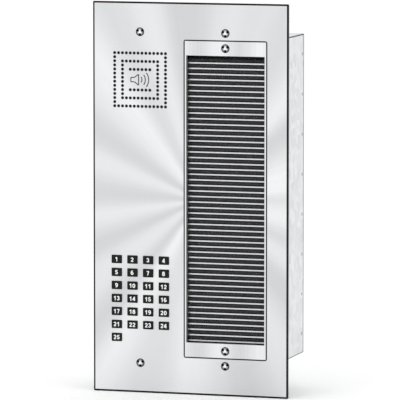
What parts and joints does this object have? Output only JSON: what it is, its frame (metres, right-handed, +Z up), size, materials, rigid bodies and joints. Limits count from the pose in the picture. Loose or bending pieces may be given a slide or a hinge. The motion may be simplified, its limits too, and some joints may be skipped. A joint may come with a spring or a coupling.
{
  "type": "door intercom panel",
  "caption": "Flush door intercom panel: stainless faceplate with speaker grille, numbered call buttons and a name directory, on a steel back box.",
  "frame": {"origin": "centre of the faceplate in the wall plane, where the gasket and the back box's ears bear on the finished wall", "axes": "+X to the right seen from the front, +Y into the wall, +Z up along the faceplate's height; the front faces -Y"},
  "size_m": [0.2364, 0.1062, 0.4572],
  "materials": {
    "stainless": "brushed stainless steel",
    "screw_steel": "polished stainless steel",
    "zinc": "zinc plated steel",
    "galvanised": "galvanised steel",
    "button_black": "satin black",
    "foam_black": "closed-cell foam",
    "silicone": "translucent grey silicone",
    "carbon": "carbon-loaded silicone",
    "board": "green solder mask",
    "nylon": "natural nylon",
    "terminal_green": "green moulded plastic",
    "cone_paper": "treated black paper",
    "ferrite": "matt ferrite",
    "pole_steel": "yellow passivated steel",
    "speaker_black": "black paint",
    "lug_brass": "tinned brass on fibre board",
    "bracket_steel": "zinc plated sheet",
    "tray_aluminium": "mill finish sheet",
    "track_aluminium": "extruded aluminium",
    "strip_black": "black engraving plastic",
    "window_clear": "clear polycarbonate",
    "lead_red": "pvc insulation",
    "lead_black": "pvc insulation",
    "bushing_plastic": "black nylon",
    "earth_green": "green dyed zinc plate"
  },
  "bodies": {
    "box": {"back_box": "galvanised", "box_nuts": "zinc", "cable_bushing": "bushing_plastic", "ground_screw": "earth_green", "wall_gasket": "foam_black"},
    "panel": {"faceplate": "stainless", "faceplate_screws": "screw_steel", "weld_studs": "zinc", "hex_nuts": "zinc", "directory_nuts": "zinc", "terminal_screws": "zinc", "speaker_gasket": "foam_black", "keypad_mat": "silicone", "contact_pills": "carbon", "button_board": "board", "board_spacers": "nylon", "button_guide": "nylon", "terminal_blocks": "terminal_green", "speaker_cone": "cone_paper", "speaker_dust_cap": "cone_paper", "speaker_magnet": "ferrite", "speaker_pole_plates": "pole_steel", "speaker_frame": "speaker_black", "speaker_screen": "speaker_black", "speaker_terminals": "lug_brass", "speaker_retainer": "bracket_steel", "directory_tray": "tray_aluminium", "directory_track": "track_aluminium", "name_strips": "strip_black", "speaker_lead_red": "lead_red", "speaker_lead_black": "lead_black"},
    "directory_cover": {"directory_frame": "stainless", "directory_gasket": "foam_black", "directory_window": "window_clear", "directory_screws": "screw_steel"},
    "button_01": {"button_01": "button_black"},
    "button_02": {"button_02": "button_black"},
    "button_03": {"button_03": "button_black"},
    "button_04": {"button_04": "button_black"},
    "button_05": {"button_05": "button_black"},
    "button_06": {"button_06": "button_black"},
    "button_07": {"button_07": "button_black"},
    "button_08": {"button_08": "button_black"},
    "button_09": {"button_09": "button_black"},
    "button_10": {"button_10": "button_black"},
    "button_11": {"button_11": "button_black"},
    "button_12": {"button_12": "button_black"},
    "button_13": {"button_13": "button_black"},
    "button_14": {"button_14": "button_black"},
    "button_15": {"button_15": "button_black"},
    "button_16": {"button_16": "button_black"},
    "button_17": {"button_17": "button_black"},
    "button_18": {"button_18": "button_black"},
    "button_19": {"button_19": "button_black"},
    "button_20": {"button_20": "button_black"},
    "button_21": {"button_21": "button_black"},
    "button_22": {"button_22": "button_black"},
    "button_23": {"button_23": "button_black"},
    "button_24": {"button_24": "button_black"},
    "button_25": {"button_25": "button_black"}
  },
  "joints": [
    {"name": "panel_removal", "type": "slide", "parent": "box", "child": "panel", "axis": [0, -1, 0], "range_m": [0, 0.13]},
    {"name": "directory_cover_removal", "type": "slide", "parent": "panel", "child": "directory_cover", "axis": [0, -1, 0], "range_m": [0, 0.04]},
    {"name": "press_01", "type": "slide", "parent": "panel", "child": "button_01", "axis": [0, 1, 0], "range_m": [0, 0.0012], "stiffness_N_per_m": 1000, "deforming": ["keypad_mat"]},
    {"name": "press_02", "type": "slide", "parent": "panel", "child": "button_02", "axis": [0, 1, 0], "range_m": [0, 0.0012], "stiffness_N_per_m": 1000, "deforming": ["keypad_mat"]},
    {"name": "press_03", "type": "slide", "parent": "panel", "child": "button_03", "axis": [0, 1, 0], "range_m": [0, 0.0012], "stiffness_N_per_m": 1000, "deforming": ["keypad_mat"]},
    {"name": "press_04", "type": "slide", "parent": "panel", "child": "button_04", "axis": [0, 1, 0], "range_m": [0, 0.0012], "stiffness_N_per_m": 1000, "deforming": ["keypad_mat"]},
    {"name": "press_05", "type": "slide", "parent": "panel", "child": "button_05", "axis": [0, 1, 0], "range_m": [0, 0.0012], "stiffness_N_per_m": 1000, "deforming": ["keypad_mat"]},
    {"name": "press_06", "type": "slide", "parent": "panel", "child": "button_06", "axis": [0, 1, 0], "range_m": [0, 0.0012], "stiffness_N_per_m": 1000, "deforming": ["keypad_mat"]},
    {"name": "press_07", "type": "slide", "parent": "panel", "child": "button_07", "axis": [0, 1, 0], "range_m": [0, 0.0012], "stiffness_N_per_m": 1000, "deforming": ["keypad_mat"]},
    {"name": "press_08", "type": "slide", "parent": "panel", "child": "button_08", "axis": [0, 1, 0], "range_m": [0, 0.0012], "stiffness_N_per_m": 1000, "deforming": ["keypad_mat"]},
    {"name": "press_09", "type": "slide", "parent": "panel", "child": "button_09", "axis": [0, 1, 0], "range_m": [0, 0.0012], "stiffness_N_per_m": 1000, "deforming": ["keypad_mat"]},
    {"name": "press_10", "type": "slide", "parent": "panel", "child": "button_10", "axis": [0, 1, 0], "range_m": [0, 0.0012], "stiffness_N_per_m": 1000, "deforming": ["keypad_mat"]},
    {"name": "press_11", "type": "slide", "parent": "panel", "child": "button_11", "axis": [0, 1, 0], "range_m": [0, 0.0012], "stiffness_N_per_m": 1000, "deforming": ["keypad_mat"]},
    {"name": "press_12", "type": "slide", "parent": "panel", "child": "button_12", "axis": [0, 1, 0], "range_m": [0, 0.0012], "stiffness_N_per_m": 1000, "deforming": ["keypad_mat"]},
    {"name": "press_13", "type": "slide", "parent": "panel", "child": "button_13", "axis": [0, 1, 0], "range_m": [0, 0.0012], "stiffness_N_per_m": 1000, "deforming": ["keypad_mat"]},
    {"name": "press_14", "type": "slide", "parent": "panel", "child": "button_14", "axis": [0, 1, 0], "range_m": [0, 0.0012], "stiffness_N_per_m": 1000, "deforming": ["keypad_mat"]},
    {"name": "press_15", "type": "slide", "parent": "panel", "child": "button_15", "axis": [0, 1, 0], "range_m": [0, 0.0012], "stiffness_N_per_m": 1000, "deforming": ["keypad_mat"]},
    {"name": "press_16", "type": "slide", "parent": "panel", "child": "button_16", "axis": [0, 1, 0], "range_m": [0, 0.0012], "stiffness_N_per_m": 1000, "deforming": ["keypad_mat"]},
    {"name": "press_17", "type": "slide", "parent": "panel", "child": "button_17", "axis": [0, 1, 0], "range_m": [0, 0.0012], "stiffness_N_per_m": 1000, "deforming": ["keypad_mat"]},
    {"name": "press_18", "type": "slide", "parent": "panel", "child": "button_18", "axis": [0, 1, 0], "range_m": [0, 0.0012], "stiffness_N_per_m": 1000, "deforming": ["keypad_mat"]},
    {"name": "press_19", "type": "slide", "parent": "panel", "child": "button_19", "axis": [0, 1, 0], "range_m": [0, 0.0012], "stiffness_N_per_m": 1000, "deforming": ["keypad_mat"]},
    {"name": "press_20", "type": "slide", "parent": "panel", "child": "button_20", "axis": [0, 1, 0], "range_m": [0, 0.0012], "stiffness_N_per_m": 1000, "deforming": ["keypad_mat"]},
    {"name": "press_21", "type": "slide", "parent": "panel", "child": "button_21", "axis": [0, 1, 0], "range_m": [0, 0.0012], "stiffness_N_per_m": 1000, "deforming": ["keypad_mat"]},
    {"name": "press_22", "type": "slide", "parent": "panel", "child": "button_22", "axis": [0, 1, 0], "range_m": [0, 0.0012], "stiffness_N_per_m": 1000, "deforming": ["keypad_mat"]},
    {"name": "press_23", "type": "slide", "parent": "panel", "child": "button_23", "axis": [0, 1, 0], "range_m": [0, 0.0012], "stiffness_N_per_m": 1000, "deforming": ["keypad_mat"]},
    {"name": "press_24", "type": "slide", "parent": "panel", "child": "button_24", "axis": [0, 1, 0], "range_m": [0, 0.0012], "stiffness_N_per_m": 1000, "deforming": ["keypad_mat"]},
    {"name": "press_25", "type": "slide", "parent": "panel", "child": "button_25", "axis": [0, 1, 0], "range_m": [0, 0.0012], "stiffness_N_per_m": 1000, "deforming": ["keypad_mat"]}
  ]
}
